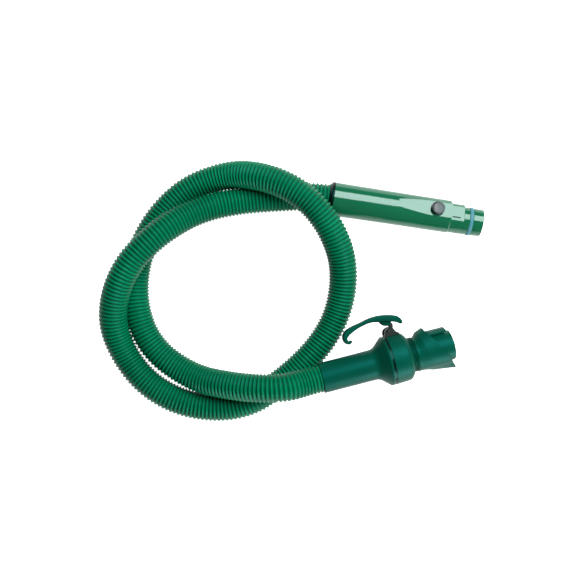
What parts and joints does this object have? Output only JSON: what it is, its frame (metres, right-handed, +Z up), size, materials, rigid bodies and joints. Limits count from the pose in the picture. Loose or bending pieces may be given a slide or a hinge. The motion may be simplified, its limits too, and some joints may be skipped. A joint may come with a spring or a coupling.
{
  "type": "suction cleaner hose",
  "caption": "Corrugated suction hose with a push-button hand tube at one end and a swivelling, lever-latched connector at the other.",
  "frame": {"origin": "floor point under the middle of the box round the hand tube and the connector, the hose left out", "axes": "+Z up from the floor, +X along the hand tube towards its open mouth"},
  "size_m": [0.5195, 0.3752, 0.08],
  "materials": {
    "hose_green": "matte",
    "grip_green": "gloss",
    "head_green": "satin",
    "dark_plastic": "satin",
    "button_grey": "satin",
    "seal_blue": "matte",
    "seal_black": "matte",
    "spring_steel": "satin"
  },
  "bodies": {
    "hose_body": {"hose": "hose_green", "hose_cuff": "dark_plastic", "cuff_seal": "seal_black", "connector_cuff": "dark_plastic", "connector_sleeve": "head_green", "sleeve_bell": "head_green", "swivel_hub": "head_green", "seam_band": "dark_plastic", "swivel_seal": "seal_black"},
    "hand_tube": {"lock_ring": "dark_plastic", "grip_shell": "grip_green", "cover_plate": "grip_green", "air_tube": "grip_green", "rear_bulkhead": "grip_green", "mouth_seal": "seal_blue", "button_spring": "spring_steel", "catch_pin": "spring_steel"},
    "push_button": {"release_button": "button_grey"},
    "catch": {"catch_lever": "dark_plastic"},
    "connector_head": {"dome_shell": "head_green", "neck_rings": "head_green", "spout_tube": "head_green", "spout_shroud": "head_green", "spout_tongue": "head_green", "latch_bracket": "dark_plastic", "latch_pin": "spring_steel", "latch_spring": "spring_steel"},
    "latch": {"latch_lever": "head_green"}
  },
  "joints": [
    {"name": "handle_swivel", "type": "hinge", "parent": "hose_body", "child": "hand_tube", "pos_m": [-0.10385, 0.12505, 0.0244], "axis": [1, 0, 0], "continuous": true},
    {"name": "button_press", "type": "slide", "parent": "hand_tube", "child": "push_button", "axis": [0, -0.309, -0.9511], "range_m": [0, 0.0022], "stiffness_N_per_m": 800, "springref_m": -0.002, "deforming": ["button_spring"]},
    {"name": "catch_pivot", "type": "hinge", "parent": "hand_tube", "child": "catch", "pos_m": [0.06215, 0.12341, 0.0407], "axis": [0, -0.9511, 0.309], "range_deg": [0, 6.8]},
    {"name": "connector_swivel", "type": "hinge", "parent": "hose_body", "child": "connector_head", "pos_m": [0.00835, -0.09149, 0.03744], "axis": [0.9185, 0.3833, -0.0976], "continuous": true},
    {"name": "latch_pivot", "type": "hinge", "parent": "connector_head", "child": "latch", "pos_m": [0.00047, -0.05014, 0.03659], "axis": [0.0901, 0.0376, 0.9952], "range_deg": [0, 12], "stiffness_Nm_per_rad": 0.5, "springref_deg": -8.59}
  ],
  "couplings": [
    {"joint": "catch_pivot", "follows": "button_press", "rad_per_m": 52.9}
  ]
}
